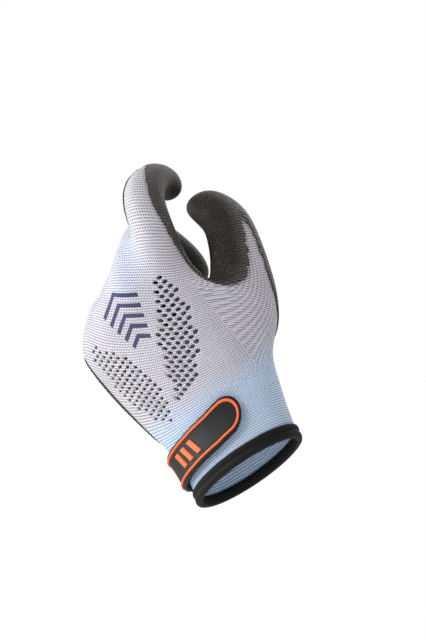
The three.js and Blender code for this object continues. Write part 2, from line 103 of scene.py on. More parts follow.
FINGER_STATIONS = table(
    ["bone", "at", "half_width", "back", "palm", "coat"],
    [
        [0, 0, 11.8, 12, 13.5, (190, 355)],
        [0, 0.42, 10.8, 11.5, 11.5, (160, 385)],
        [1, 0, 10.2, 14.2, 10, (137, 403)],
        [2, 0, 9, 10, 9, (100, 440)],
        [2, 0.65, 8, 7.4, 8, (60, 480)],
    ],
)
THUMB_SECTIONS = table(
    ["across", "along", "up", "half_width", "half_depth", "lean", "coat"],
    [
        [47, 48.5, -12, 15.5, 10, 10, (104, 394)],
        [48.5, 67, -28, 14.5, 11, 4, (99, 410)],
        [48, 81, -38, 13.5, 12.5, 0, (99, 422)],
        [46, 94, -48, 12.5, 11.5, 0, (91, 429)],
        [35, 107, -55.5, 11, 10, 0, (60, 480)],
    ],
)
THUMB_ROOT = {"across": 30, "along": 24, "up": 0}
THUMB_TIP = {"across": 15, "along": 115.5, "up": -60}
THUMB_OUTER_SIDE = {"across": 0.3, "along": -0.38, "up": -0.84}

# The first stations of the four fingers are joined into rows across the hand
SHARED_STATIONS = 2

# A fingertip's depth inside the coating, and its length past the last ring
TIP_DEPTH = 10
TIP_LENGTH = 10

# Facing walls closer than this are moved apart, each by half of what is missing, in rounds
CREASE_ROOM = 2.5
CREASE_ROUNDS = 6

# Rays start just off the knit, or far outside the glove
RAY_START = 0.01
FAR_OUT = 200

# Vent holes: for each distance from the wrist, the span across. The holes turn by so many
# degrees from one side of a field to the other
VENT_FIELDS = [
    {
        "half_length": 1.7,
        "half_width": 1.0,
        "turns": (38, 0),
        "spans": [
            (27, -5.5, 4),
            (35, -1.5, 16.5),
            (45, 2.7, 25.5),
            (60, 8, 31.5),
            (76, 18, 33),
            (90, 27, 31),
        ],
    },
    {
        "half_length": 1.45,
        "half_width": 0.88,
        "turns": (0, 10),
        "spans": [
            (22, -20, -12),
            (30, -28, -9.5),
            (40, -33, -8),
            (50, -36, -9),
            (60, -38, -14),
            (70, -39, -21),
            (78, -38, -34),
        ],
    },
]
# Their staggered lattice, and the reach and number of sides of the pegs that cut them
VENT = {
    "column": 2.6,
    "row": 5.0,
    "lattice_deg": 28,
    "depth": 3.0,
    "sides": 10,
    "lattice_reach": 40,
}

# How far the coating's edge wanders within a band along it, and the size of its blots and flecks
RAGGED = {"band": 4, "stitch": 0.4, "blot": 0.6, "blot_size": 2.6, "fleck": 0.5, "fleck_size": 0.8}

# The plain badge: its middle on the hand, the stripes' pitch and slant, and how it narrows
PRINT = {
    "across": -1,
    "along": 80,
    "half": 12,
    "low": -13,
    "high": 16,
    "pitch": 6.4,
    "fill": 0.42,
    "slant": 0.55,
    "narrowing": -0.35,
}

# The strap's middle line on the cuff: degrees from the thumb's side over the back, and height
STRAP_LINE = [(36, 25.5), (70, 22.5), (110, 21.5), (250, 21)]
STRAP_STEP_DEG = 2
BAND = {"from": 8, "to": 112, "half": 8, "root_from": 64, "root_half": 11.5, "taper": 8}
TAB = {"from": 0, "to": 70, "half": 9.6}
BAND_HEIGHTS = (0.4, 1.7)
TAB_HEIGHTS = (1.9, 4.3)
STRIP_STEP = 1.5
# A strip's soft edge: its radius, its most as a share of the strip, and how far the corner is cut
EDGE_RADIUS = 0.7
EDGE_MOST = 0.9
EDGE_CUT = 0.3
STRIP_MIDDLE = (0.6, 0.2, -0.2, -0.6)
ROUND_END = {"first_turn": 0.12, "last_turn": 1.57, "stops": 12}
WELT = {"inset": 2.1, "half": 0.62, "foot": 4.1, "crest": 5.3, "corner": 2.0}
WELT_STOPS = {"straight": 44, "arc": 25, "corner": 5, "end": 8}
WELT_SECTION = [(1, 0), (1, 0.45), (0.7, 0.85), (0, 1), (-0.7, 0.85), (-1, 0.45), (-1, 0)]
BARS = {
    "middle": 37,
    "count": 3,
    "pitch": 6.2,
    "width": 3,
    "height": 9,
    "slant": 3.5,
    "crest": 5.2,
    "bevel": 0.3,
    "bevel_height": 0.35,
}

# The tape folded over the edge of the cuff: height and distance out from the knit
BINDING_PROFILE = [
    (7.1, 0.35),
    (7.35, 0.8),
    (7.1, 1.25),
    (6.0, 1.7),
    (4.9, 1.6),
    (4.2, 1.0),
    (3.9, 0.95),
    (3.6, 1.05),
    (2.8, 1.75),
    (1.4, 1.8),
    (0.4, 1.3),
    (0.0, 0.4),
    (0.0, -1.2),
    (0.5, -2.0),
    (3.0, -2.3),
    (5.5, -2.2),
    (5.8, -1.6),
    (1.4, -1.4),
    (1.3, 0.3),
]
BINDING_STOPS = 180
# Below this height the tape keeps the outline that the knit has here
KNIT_FOOT = 1.6

# Colours as they look on screen, 0 to 255
TONES = {
    "knit_shade": (186, 183, 191),
    "knit_light": (212, 210, 217),
    "knit_blue": (194, 216, 241),
    # Painted shade: the grooves between the knit's stitches, darker than the yarn, grey and blue
    "groove_shade_grey": (126, 122, 132),
    "groove_shade_blue": (122, 148, 184),
    "print": (17, 10, 92),
    # Painted shade: the print's colour in the grooves between stitches
    "print_groove_shade": (14, 10, 56),
    "coat_stain": (62, 58, 58),
    "coat_dark": (17, 14, 13),
    # Lighter specks on the coating: its own grain, partly painted highlights that stand in for glints
    "coat_grain_glint": (100, 89, 83),
    "coat_edge": (132, 123, 118),
    "tape_dark": (6, 6, 7),
    "tape_light": (34, 33, 36),
    "tab_dark": (7, 6, 7),
    "tab_light": (17, 16, 18),
    "orange_dark": (222, 94, 44),
    "orange_light": (238, 116, 64),
    "floor": (240, 240, 240),
}

# Each pair of numbers is the range over which a look fades in, from none to full
STITCH_LOOK = {"wander": 1.2, "wander_scale": 90, "lean": 0.7, "course": (0.5, -0.9), "wale": (0.08, 0.4)}
KNIT_LOOK = {
    "between": 0.35,
    "mottle_scale": 55,
    "blue": 0.85,
    "print": 0.97,
    # How much of the print's colour the painted shade in the grooves keeps
    "print_groove_shade": 0.9,
    "stain": (-1.6, 0.2),
    "stain_floor": 1.1,
}
# Where the knit is blue: a distance from the wrist, and squared distances from a knuckle
BLUE_WRIST = (34.0, 12.0)
BLUE_KNUCKLE = {"across": 9.0, "along": 104.0, "fade": (500.0, 20.0), "most": 0.4}
COAT_LOOK = {
    "between": 0.7,
    "grain_scale": 1500,
    "grain_roughness": 0.7,
    "grain": (0.42, 0.75),
    "cloud_scale": 70,
    "cloud": (0.3, 0.7),
    "cloud_least": 0.35,
    "edge": (6.0, 0.0),
    "edge_crests": (0.5, 1.0),
    "edge_share": 0.42,
    "relief": 0.8,
}
TAPE_LOOK = {"rib_scale": 420.0, "rib_distortion": 0.5, "fuzz_scale": 1200}
MOULDED_LOOK = {"mottle_scale": 260, "grain_scale": 1800}
# Bump depth in metres, and its strength
BUMPS = {"knit": (0.0006, 0.9), "coating": (0.0006, 0.9), "tape": (0.0002, 0.7), "moulded": (0.0001, 0.6)}

# The floor's height and size, and the lights' places and sizes, in metres
FLOOR_HEIGHT = -0.36
FLOOR_SIZE = 6.0
LIGHTS = table(
    ["place", "size", "power"],
    [
        [(0.1, -0.95, 0.7), 0.5, 7.0],
        [(-0.6, -0.5, 0.6), 0.7, 9.0],
        [(0.1, 0.8, 0.6), 0.8, 4.0],
    ],
)
AIM = Vector((0.0, 0.0, 0.09))
WORLD_STRENGTH = 0.6

# The view: angles in degrees, the distance in millimetres and the image in pixels
CAMERA = {"azimuth": 35, "elevation": -20, "roll": -30, "distance": 850, "focal_px": 1600}
IMAGE_SIZE = (426, 640)
ORIGIN_PX = (253, 471)
SENSOR_HEIGHT = 24

QUARTER_TURN = 90
X, Y, Z = np.eye(3)


def unit(v):
    return v / np.linalg.norm(v)


def around(axis, deg, v):
    angle = math.radians(deg)
    along = axis * np.dot(axis, v)
    return along + (v - along) * math.cos(angle) + np.cross(axis, v) * math.sin(angle)


def turned_frame(share):
    dorsal = around(X, share * WRIST_BACK_DEG, -Y)

    def turn(v):
        return around(dorsal, -share * WRIST_TURN_DEG, around(X, share * WRIST_BACK_DEG, v))

    return {"radial": turn(X), "distal": turn(Z), "dorsal": dorsal}


WRIST = Z * WRIST_HEIGHT
HAND = turned_frame(1)


def in_hand(spot, axes=HAND):
    steps = zip(("across", "along", "up"), ("radial", "distal", "dorsal"))
    return sum(spot[name] * axes[axis] for name, axis in steps)


def swell(columns):
    """How far a ring's points stand out, so that the smoothed ring has the wanted size."""
    return 6 / (4 + 2 * math.cos(2 * math.pi / columns))


def coat_depth(coat, deg):
    """Degrees inside the coated arc, below zero outside it."""
    if coat is NO_COAT:
        return UNCOATED_DEG
    start, end = coat
    off = (deg - (start + end) / 2 + 180) % 360 - 180
    return (end - start) / 2 - abs(off)


def fan_slope(along):
    """How far the courses of the back climb towards the thumb, from none at the cuff."""
    share = np.clip((along - FAN["from"]) / (FAN["to"] - FAN["from"]), 0, 1)
    return FAN["slope"] * share


def pushed_apart(deg, parted):
    off = (deg + 180) % 360 - 180
    return deg + np.sign(off) * parted * max(0, 1 - abs(off) / QUARTER_TURN)


# A cage point holds x, y, z, its depth inside the coating and its course, all in millimetres
AT_DEPTH = 3
AT_COURSE = 4


def ring_points(ring, centre, axes, columns, course, first_deg=0, parted=0, rise=None):
    grow = swell(columns)
    points = []
    for k in range(columns):
        deg = pushed_apart(first_deg + 360 * k / columns, parted)
        side = math.cos(math.radians(deg))
        up = math.sin(math.radians(deg))
        height = ring["back"] if up > 0 else ring["palm"]
        place = centre + axes["radial"] * side * ring["half_width"] * grow
        place = place + axes["dorsal"] * up * height * grow
        own_course = course
        if rise is not None:
            place = place + rise * side
            own_course = course + np.dot(rise, HAND["distal"]) * side
        depth = math.radians(coat_depth(ring["coat"], deg)) * ring["half_width"]
        points.append(np.array([*place, depth, own_course]))
    return points


cage_points = []
cage_quads = []
cage_wales = []


def add_point(point):
    cage_points.append(point)
    return len(cage_points) - 1


def add_quad(corners, wales):
    cage_quads.append(corners)
    cage_wales.append(wales)


def join_rings(lower, upper, width, skip=()):
    for k in range(len(lower)):
        if k in skip:
            continue
        after = (k + 1) % len(lower)
        corners = (lower[k], upper[k], upper[after], lower[after])
        add_quad(corners, (k * width, k * width, (k + 1) * width, (k + 1) * width))


def palm_row(section):
    axes = turned_frame(section["turn"])
    centre = WRIST + in_hand(section, axes)
    rise = axes["distal"] * section["slope"]
    points = ring_points(
        section, centre, axes, PALM_COLUMNS, section["along"], parted=section["parted"], rise=rise
    )
    for point in points:
        point[AT_COURSE] += fan_slope(section["along"]) * np.dot(point[:3] - WRIST, HAND["radial"])
    return points


def finger_rings(finger):
    straight = around(HAND["dorsal"], -finger["splay"], HAND["distal"])
    dorsal = around(straight, finger["roll"], HAND["dorsal"])
    radial = unit(np.cross(straight, dorsal))
    if np.dot(radial, HAND["radial"]) < 0:
        radial = -radial
    turned = [0]
    for bend in finger["bends"]:
        turned.append(turned[-1] + bend)
    joints = [WRIST + in_hand(finger)]
    for length, deg in zip(finger["bones"], turned[1:]):
        joints.append(joints[-1] + around(radial, -deg, straight) * length)
    rings = []
    for station in FINGER_STATIONS:
        bone = station["bone"]
        before = turned[bone] if station["at"] == 0 else turned[bone + 1]
        deg = (before + turned[bone + 1]) / 2
        sized = {name: station[name] * finger["size"] for name in ("half_width", "back", "palm")}
        centre = joints[bone] + (joints[bone + 1] - joints[bone]) * station["at"]
        axes = {"radial": radial, "dorsal": around(radial, -deg, dorsal)}
        walked = sum(finger["bones"][:bone]) + station["at"] * finger["bones"][bone]
        ring = {**sized, "coat": station["coat"]}
        course = finger["along"] + walked + FAN["slope"] * finger["across"]
        points = ring_points(ring, centre, axes, DIGIT_COLUMNS, course)
        fade = max(0, 1 - len(rings) / FAN["fade"])
        for point in points:
            point[AT_COURSE] += fade * FAN["slope"] * np.dot(point[:3] - centre, HAND["radial"])
        rings.append(points)
    return rings, joints[-1]


def shared_row(fingers, station):
    """A row that crosses all four fingers: neighbours share a point between their rings."""
    rings = [rings[station] for rings, _ in fingers]
    row = [None] * PALM_COLUMNS
    row[0] = rings[0][0]
    row[HALF_PALM] = rings[-1][HALF_DIGIT]
    for i, ring in enumerate(rings):
        row[1 + 2 * i] = (rings[i - 1][3] + ring[1]) / 2 if i else ring[1]
        row[2 + 2 * i] = ring[2]
        row[-2 - 2 * i] = ring[-2]
        row[-1 - 2 * i] = (rings[i - 1][-3] + ring[-1]) / 2 if i else ring[-1]
    row[HALF_PALM - 1] = rings[-1][HALF_DIGIT - 1]
    row[HALF_PALM + 1] = rings[-1][HALF_DIGIT + 1]
    return row


def add_digit(start, rings, tip_place):
    """The rings of a finger or thumb on its first ring, closed at the tip."""
    ring = start
    for points in rings:
        after = [add_point(point) for point in points]
        join_rings(ring, after, DIGIT_COLUMN_WIDTH)
        ring = after
    tip = add_point(np.array([*tip_place, TIP_DEPTH, rings[-1][0][AT_COURSE] + TIP_LENGTH]))
    for k in range(0, DIGIT_COLUMNS, 2):
        wales = np.array([k, k + 1, k + 2, k + 1]) * DIGIT_COLUMN_WIDTH
        add_quad((ring[k], tip, ring[(k + 2) % DIGIT_COLUMNS], ring[k + 1]), tuple(wales))


def thumb_rings():
    tip = WRIST + in_hand(THUMB_TIP)
    centres = [WRIST + in_hand(section) for section in THUMB_SECTIONS]
    path = [WRIST + in_hand(THUMB_ROOT), *centres, tip]
    rings = []
    course = THUMB_SECTIONS[0]["along"] + FAN["slope"] * THUMB_SECTIONS[0]["across"]
    for i, section in enumerate(THUMB_SECTIONS):
        along = unit(path[i + 2] - path[i])
        side = in_hand(THUMB_OUTER_SIDE)
        radial = unit(side - along * np.dot(side, along))
        axes = {"radial": radial, "dorsal": np.cross(radial, along)}
        depth = section["half_depth"]
        ring = {**section, "back": depth, "palm": depth}
        if i:
            course += np.linalg.norm(centres[i] - centres[i - 1])
        rise = HAND["distal"] * -section["lean"]
        points = ring_points(
            ring, centres[i], axes, DIGIT_COLUMNS, course, first_deg=THUMB_FIRST_DEG, rise=rise
        )
        # Near the palm the courses keep the palm's direction and swing round along the thumb
        share = 1 - i / (len(THUMB_SECTIONS) - 1)
        for point in points:
            off = point[:3] - centres[i]
            lift = np.dot(off, HAND["distal"]) + FAN["slope"] * np.dot(off, HAND["radial"])
            point[AT_COURSE] = course + share * lift
        rings.append(points)
    return rings, tip


def build_cage():
    fingers = [finger_rings(finger) for finger in FINGERS]
    rows = [palm_row(section) for section in PALM_SECTIONS]
    rows += [shared_row(fingers, station) for station in range(SHARED_STATIONS)]
    indexed = []
    for i, row in enumerate(rows):
        inside = THUMB_FIRST_ROW < i < THUMB_LAST_ROW
        indexed.append([None if inside and k == 0 else add_point(p) for k, p in enumerate(row)])
    for i in range(len(indexed) - 1):
        hole = (0, PALM_COLUMNS - 1) if THUMB_FIRST_ROW <= i < THUMB_LAST_ROW else ()
        join_rings(indexed[i], indexed[i + 1], PALM_COLUMN_WIDTH, skip=hole)
    last = indexed[-1]
    crotches = [last[0]]
    for (before, _), (after, _) in zip(fingers, fingers[1:]):
        sides = before[SHARED_STATIONS - 1][HALF_DIGIT] + after[SHARED_STATIONS - 1][0]
        crotches.append(add_point(sides / 2))
    crotches.append(last[HALF_PALM])
    for i, (rings, tip) in enumerate(fingers):
        back = [last[k + 2 * i] for k in (1, 2, 3)]
        palm = [last[k - 2 * i] for k in (-3, -2, -1)]
        add_digit([crotches[i], *back, crotches[i + 1], *palm], rings[SHARED_STATIONS:], tip)
    hole_rows = indexed[THUMB_FIRST_ROW : THUMB_LAST_ROW + 1]
    back = [row[1] for row in hole_rows]
    palm = [row[PALM_COLUMNS - 1] for row in reversed(hole_rows)]
    add_digit([*back, hole_rows[-1][0], *palm, hole_rows[0][0]], *thumb_rings())


def smooth(points, quads, wales):
    """One level of Catmull-Clark; the wales at the corners are only split."""
    pairs = np.sort(np.stack([quads, np.roll(quads, -1, axis=1)], -1).reshape(-1, 2), axis=1)
    edges, index = np.unique(pairs, axis=0, return_inverse=True)
    index = index.reshape(-1, 4)
    face_points = points[quads].mean(1)
    middles = points[edges].mean(1)
    uses = np.bincount(index.ravel(), minlength=len(edges))
    face_sums = np.zeros((len(edges), points.shape[1]))
    np.add.at(face_sums, index.ravel(), np.repeat(face_points, 4, axis=0))
    border = uses == 1
    edge_points = np.where(border[:, None], middles, (face_sums / 2 + middles) / 2)

    faces_near = np.zeros_like(points)
    count = np.bincount(quads.ravel(), minlength=len(points))[:, None]
    np.add.at(faces_near, quads.ravel(), np.repeat(face_points, 4, axis=0))
    middles_near = np.zeros_like(points)
    np.add.at(middles_near, edges.ravel(), np.repeat(middles, 2, axis=0))
    degree = np.bincount(edges.ravel(), minlength=len(points))[:, None]
    inner = (faces_near / count + 2 * middles_near / degree + (count - 3) * points) / count
    rim_near = np.zeros_like(points)
    np.add.at(rim_near, edges[border].ravel(), np.repeat(middles[border], 2, axis=0))
    on_rim = np.zeros(len(points), bool)
    on_rim[edges[border].ravel()] = True
    moved = np.where(on_rim[:, None], (points + rim_near / 2) / 2, inner)

    first_edge = len(points) + len(face_points)
    face_index = len(points) + np.arange(len(quads))
    after = first_edge + index
    before = first_edge + np.roll(index, 1, axis=1)
    middle = np.repeat(face_index[:, None], 4, axis=1)
    split = np.stack([quads, after, middle, before], -1).reshape(-1, 4)
    next_wales = (wales + np.roll(wales, -1, axis=1)) / 2
    last_wales = (wales + np.roll(wales, 1, axis=1)) / 2
    mean_wales = np.repeat(wales.mean(1)[:, None], 4, axis=1)
    split_wales = np.stack([wales, next_wales, mean_wales, last_wales], -1).reshape(-1, 4)
    return np.vstack([moved, face_points, edge_points]), split, split_wales


def vertex_normals(points, quads):
    a, b, c, d = (points[quads[:, k], :3] for k in range(4))
    normal = np.cross(c - a, d - b)
    summed = np.zeros((len(points), 3))
    np.add.at(summed, quads.ravel(), np.repeat(normal, 4, axis=0))
    return summed / np.linalg.norm(summed, axis=1)[:, None]


def open_creases(points, quads):
    """Walls that face each other across a crease are moved apart."""
    for _ in range(CREASE_ROUNDS):
        normals = vertex_normals(points, quads)
        tree = BVHTree.FromPolygons(points[:, :3].tolist(), quads.tolist())
        for i, normal in enumerate(normals):
            start = Vector(points[i, :3] + normal * RAY_START)
            distance = tree.ray_cast(start, Vector(normal), CREASE_ROOM)[3]
            if distance is not None:
                points[i, :3] -= normal * (CREASE_ROOM - distance) / 2


def border_edges(faces):
    """Edges that only one face uses, in that face's direction."""
    size = faces.max() + 1
    starts = faces.ravel()
    ends = np.roll(faces, -1, axis=1).ravel()
    single = ~np.isin(starts * size + ends, ends * size + starts)
    return starts[single], ends[single]


def wall(places, normals, faces, outer, inner):
    """Both sides of a sheet and the rim along its open edges."""
    count = len(places)
    both = np.vstack([places + normals * outer, places + normals * inner])
    starts, ends = border_edges(faces)
    inside = faces[:, ::-1] + count
    if faces.shape[1] == 4:
        rim = np.stack([starts, starts + count, ends + count, ends], -1)
    else:
        rim = np.vstack(
            [
                np.stack([starts, starts + count, ends], -1),
                np.stack([ends, starts + count, ends + count], -1),
            ]
        )
    return both, np.vstack([faces, inside, rim])


def make_object(name, places, faces, material, uvs=None):
    mesh = bpy.data.meshes.new(name)
    mesh.from_pydata((np.asarray(places) * MM).tolist(), [], [list(face) for face in faces])
    for layer, values in (uvs or {}).items():
        mesh.uv_layers.new(name=layer).data.foreach_set("uv", np.ravel(values))
    mesh.polygons.foreach_set("use_smooth", [True] * len(mesh.polygons))
    mesh.materials.append(material)
    piece = bpy.data.objects.new(name, mesh)
    bpy.context.scene.collection.objects.link(piece)
    return piece


# The colour sockets of a Mix node
MIX_LOW = 6
MIX_HIGH = 7
MIX_RESULT = 2


# Materials
class Shader:
    """A material and short calls that add nodes to it."""

    def __init__(self, name):
        self.material = bpy.data.materials.new(name)
        self.material.use_nodes = True
        self.tree = self.material.node_tree
        self.bsdf = self.tree.nodes["Principled BSDF"]

    def node(self, kind, inputs=None, **settings):
        made = self.tree.nodes.new(kind)
        for key, value in settings.items():
            setattr(made, key, value)
        for key, value in (inputs or {}).items():
            self.put(made.inputs[key], value)
        return made

    def put(self, socket, value):
        if isinstance(value, bpy.types.NodeSocket):
            self.tree.links.new(value, socket)
        else:
            socket.default_value = value

    def math(self, operation, *values):
        inputs = dict(enumerate(values))
        return self.node("ShaderNodeMath", inputs, operation=operation).outputs[0]

    def ramp(self, value, start, end, low=0.0, high=1.0):
        inputs = {"Value": value, "From Min": start, "From Max": end, "To Min": low, "To Max": high}
        made = self.node("ShaderNodeMapRange", inputs, interpolation_type="SMOOTHSTEP")
        return made.outputs["Result"]

    def mix(self, share, low, high):
        made = self.node("ShaderNodeMix", data_type="RGBA")
        self.put(made.inputs["Factor"], share)
        self.put(made.inputs[MIX_LOW], low)
        self.put(made.inputs[MIX_HIGH], high)
        return made.outputs[MIX_RESULT]

    def place(self):
        return self.node("ShaderNodeTexCoord").outputs["Object"]

    def noise(self, scale, detail=2.0, roughness=0.5):
        inputs = {"Vector": self.place(), "Scale": scale, "Detail": detail, "Roughness": roughness}
        return self.node("ShaderNodeTexNoise", inputs).outputs["Fac"]

    def uv(self, layer):
        source = self.node("ShaderNodeUVMap", uv_map=layer)
        parts = self.node("ShaderNodeSeparateXYZ", {"Vector": source.outputs["UV"]})
        return parts.outputs["X"], parts.outputs["Y"]

    def bump(self, height, distance, strength):
        inputs = {"Height": height, "Distance": distance, "Strength": strength}
        self.put(self.bsdf.inputs["Normal"], self.node("ShaderNodeBump", inputs).outputs["Normal"])

    def finish(self, color, **settings):
        self.put(self.bsdf.inputs["Base Color"], color)
        for key, value in settings.items():
            self.put(self.bsdf.inputs[key.replace("_", " ")], value)
        return self.material


def tone(name):
    """A named tone in the linear values that a shader takes."""
    shares = (value / 255 for value in TONES[name])
    linear = [s / 12.92 if s <= 0.04045 else ((s + 0.055) / 1.055) ** 2.4 for s in shares]
    return (*linear, 1.0)


def stitches(shader, between_least):
    """The height of the knit: V-shaped loops, with grooves that are shallow where wales meet."""
    wale, course = shader.uv("knit")
    off = shader.math("SUBTRACT", shader.noise(STITCH_LOOK["wander_scale"]), 0.5)
    wander = shader.math("MULTIPLY", off, STITCH_LOOK["wander"])
    across = shader.math("DIVIDE", wale, WALE)
    away = shader.math("PINGPONG", across, 0.5)
    rows = shader.math("DIVIDE", shader.math("ADD", course, wander), COURSE)
    bent = shader.math("ADD", rows, shader.math("MULTIPLY", away, STITCH_LOOK["lean"]))
    wave = shader.math("SINE", shader.math("MULTIPLY", bent, 2 * math.pi))
    groove = shader.ramp(wave, *STITCH_LOOK["course"])
    between = shader.ramp(away, *STITCH_LOOK["wale"], between_least, 1.0)
    return shader.math("SUBTRACT", 1.0, shader.math("MULTIPLY", groove, between))


def hand_coordinates(shader):
    """Distances across and along the back of the hand, in millimetres, from the wrist."""
    found = []
    for axis in ("radial", "distal"):
        inputs = {0: shader.place(), 1: Vector(HAND[axis] / MM)}
        dot = shader.node("ShaderNodeVectorMath", inputs, operation="DOT_PRODUCT")
        found.append(shader.math("SUBTRACT", dot.outputs["Value"], float(WRIST @ HAND[axis])))
    return found


def chevrons(shader, across, along):
    """A plain printed badge: a stack of chevrons that narrows towards the wrist."""
    side = shader.math("ABSOLUTE", shader.math("SUBTRACT", across, PRINT["across"]))
    rise = shader.math("SUBTRACT", along, PRINT["along"])
    slanted = shader.math("ADD", rise, shader.math("MULTIPLY", side, PRINT["slant"]))
    stripe = shader.math("FRACT", shader.math("DIVIDE", slanted, PRINT["pitch"]))
    painted = shader.math("LESS_THAN", stripe, PRINT["fill"])
    narrow = shader.math("ADD", side, shader.math("MULTIPLY", rise, PRINT["narrowing"]))
    within = shader.math("LESS_THAN", narrow, PRINT["half"])
    above = shader.math("GREATER_THAN", slanted, PRINT["low"])
    below = shader.math("LESS_THAN", slanted, PRINT["high"])
    near = shader.math("MULTIPLY", above, below)
    return shader.math("MULTIPLY", shader.math("MULTIPLY", painted, within), near)


def blue_share(shader, across, along):
    """How blue the yarn is: full at the wrist, weaker round the first knuckles."""
    wrist = shader.ramp(along, *BLUE_WRIST)
    east = shader.math("SUBTRACT", across, BLUE_KNUCKLE["across"])
    north = shader.math("SUBTRACT", along, BLUE_KNUCKLE["along"])
    spread = shader.math("ADD", shader.math("POWER", east, 2.0), shader.math("POWER", north, 2.0))
    knuckle = shader.ramp(spread, *BLUE_KNUCKLE["fade"], 0.0, BLUE_KNUCKLE["most"])
    return shader.math("MAXIMUM", wrist, knuckle)


def knit_material():
    shader = Shader("knit")
    across, along = hand_coordinates(shader)
    height = stitches(shader, KNIT_LOOK["between"])
    blue = blue_share(shader, across, along)
    mottle = shader.noise(KNIT_LOOK["mottle_scale"], detail=3.0)
    light = shader.mix(mottle, tone("knit_shade"), tone("knit_light"))
    yarn = shader.mix(shader.math("MULTIPLY", blue, KNIT_LOOK["blue"]), light, tone("knit_blue"))
    badge = chevrons(shader, across, along)
    ink = shader.math("MULTIPLY", badge, KNIT_LOOK["print"])
    inked = shader.mix(ink, yarn, tone("print"))
    # Painted shade in the grooves between stitches: blue-grey where the yarn is blue, darker still under
    # the print
    groove = shader.mix(blue, tone("groove_shade_grey"), tone("groove_shade_blue"))
    ink_in_groove_shade = shader.math("MULTIPLY", badge, KNIT_LOOK["print_groove_shade"])
    dark = shader.mix(ink_in_groove_shade, groove, tone("print_groove_shade"))
    # The yarn's colour on the stitches, with painted shade in the grooves, set by the knit's height
    cloth = shader.mix(height, dark, inked)
    # The coating soaks into the grooves next to its edge
    depth, _ = shader.uv("coat")
    below = shader.math("SUBTRACT", KNIT_LOOK["stain_floor"], height)
    stain = shader.math("MULTIPLY", shader.ramp(depth, *KNIT_LOOK["stain"]), below)
    color = shader.mix(stain, cloth, tone("coat_stain"))
    shader.bump(height, *BUMPS["knit"])
    return shader.finish(color, Roughness=0.85, Sheen_Weight=0.25, Sheen_Roughness=0.5)


def coating_material():
    shader = Shader("coating")
    height = stitches(shader, COAT_LOOK["between"])
    grain = shader.noise(COAT_LOOK["grain_scale"], roughness=COAT_LOOK["grain_roughness"])
    cloud = shader.noise(COAT_LOOK["cloud_scale"], detail=3.0)
    cloudy = shader.ramp(cloud, *COAT_LOOK["cloud"], COAT_LOOK["cloud_least"])
    # Lighter specks on the grain, in clouds: the coating's own speckle, partly painted highlights that
    # stand in for glints
    grain_and_glint = shader.math("MULTIPLY", shader.ramp(grain, *COAT_LOOK["grain"]), cloudy)
    base = shader.mix(grain_and_glint, tone("coat_dark"), tone("coat_grain_glint"))
    # Near its edge the coating is thin, and the crests of the knit show through
    depth, _ = shader.uv("coat")
    crests = shader.ramp(height, *COAT_LOOK["edge_crests"])
    edge = shader.math("MULTIPLY", shader.ramp(depth, *COAT_LOOK["edge"]), crests)
    thin = shader.math("MULTIPLY", edge, COAT_LOOK["edge_share"])
    color = shader.mix(thin, base, tone("coat_edge"))
    relief = shader.math("ADD", height, shader.math("MULTIPLY", grain, COAT_LOOK["relief"]))
    shader.bump(relief, *BUMPS["coating"])
    return shader.finish(color, Roughness=0.5, Specular_IOR_Level=0.25)


def tape_material():
    shader = Shader("black_tape")
    inputs = {
        "Vector": shader.place(),
        "Scale": TAPE_LOOK["rib_scale"],
        "Distortion": TAPE_LOOK["rib_distortion"],
        "Detail": 1.0,
    }
    rib = shader.node("ShaderNodeTexWave", inputs, bands_direction="DIAGONAL").outputs["Fac"]
    fuzz = shader.noise(TAPE_LOOK["fuzz_scale"])
    color = shader.mix(shader.math("MULTIPLY", rib, fuzz), tone("tape_dark"), tone("tape_light"))
    shader.bump(rib, *BUMPS["tape"])
    return shader.finish(color, Roughness=0.75, Specular_IOR_Level=0.2)


def moulded_material(name, low, high):
    shader = Shader(name)
    mottle = shader.noise(MOULDED_LOOK["mottle_scale"], detail=3.0)
    color = shader.mix(mottle, low, high)
    shader.bump(shader.noise(MOULDED_LOOK["grain_scale"]), *BUMPS["moulded"])
    return shader.finish(color, Roughness=0.5, Specular_IOR_Level=0.3)


KNIT = knit_material()
COATING = coating_material()
TAPE = tape_material()
TAB_RUBBER = moulded_material("tab_rubber", tone("tab_dark"), tone("tab_light"))
ORANGE = moulded_material("orange_rubber", tone("orange_dark"), tone("orange_light"))

# The surface of the hand at two levels of detail, SKIN for the liner and FINE for the coating
build_cage()
level = (np.array(cage_points), np.array(cage_quads), np.array(cage_wales, float))
level = smooth(*level)
open_creases(level[0], level[1])
level = smooth(*level)
SKIN = smooth(*level)
FINE = smooth(*SKIN)
skin_tree = BVHTree.FromPolygons(SKIN[0][:, :3].tolist(), SKIN[1].tolist())


def first_hit(through, outward):
    """Where a line through a point meets the knit first, from outside, and its normal there."""
    start = Vector(through + outward * FAR_OUT)
    place, normal, _, _ = skin_tree.ray_cast(start, Vector(-outward))
    return np.array(place), np.array(normal)


def corner_uvs(points, faces, wales):
    """The stitch and the depth inside the coating at each corner of each face."""
    knit = np.stack([wales.ravel(), points[faces.ravel(), AT_COURSE]], -1)
    coat = np.stack([points[faces.ravel(), AT_DEPTH], np.zeros(faces.size)], -1)
    return {"knit": knit, "coat": coat}


# The knitted liner, with its vents cut through
def vent_places(field):
    """The places of a field's vents in a staggered lattice, and how far across the field each is."""
    spans = np.array(field["spans"])
    cosine = math.cos(math.radians(VENT["lattice_deg"]))
    sine = math.sin(math.radians(VENT["lattice_deg"]))
    reach = VENT["lattice_reach"]
    places = []
    for i in range(-reach, reach):
        for j in range(-reach, reach):
            column = i * VENT["column"]
            row = (j + i % 2 / 2) * VENT["row"]
            across = column * cosine + row * sine
            along = row * cosine - column * sine
            start = np.interp(along, spans[:, 0], spans[:, 1])
            end = np.interp(along, spans[:, 0], spans[:, 2])
            if spans[0, 0] < along < spans[-1, 0] and start < across < end:
                share = (across - start) / (end - start)
                places.append(({"across": across, "along": along, "up": 0}, share))
    return places


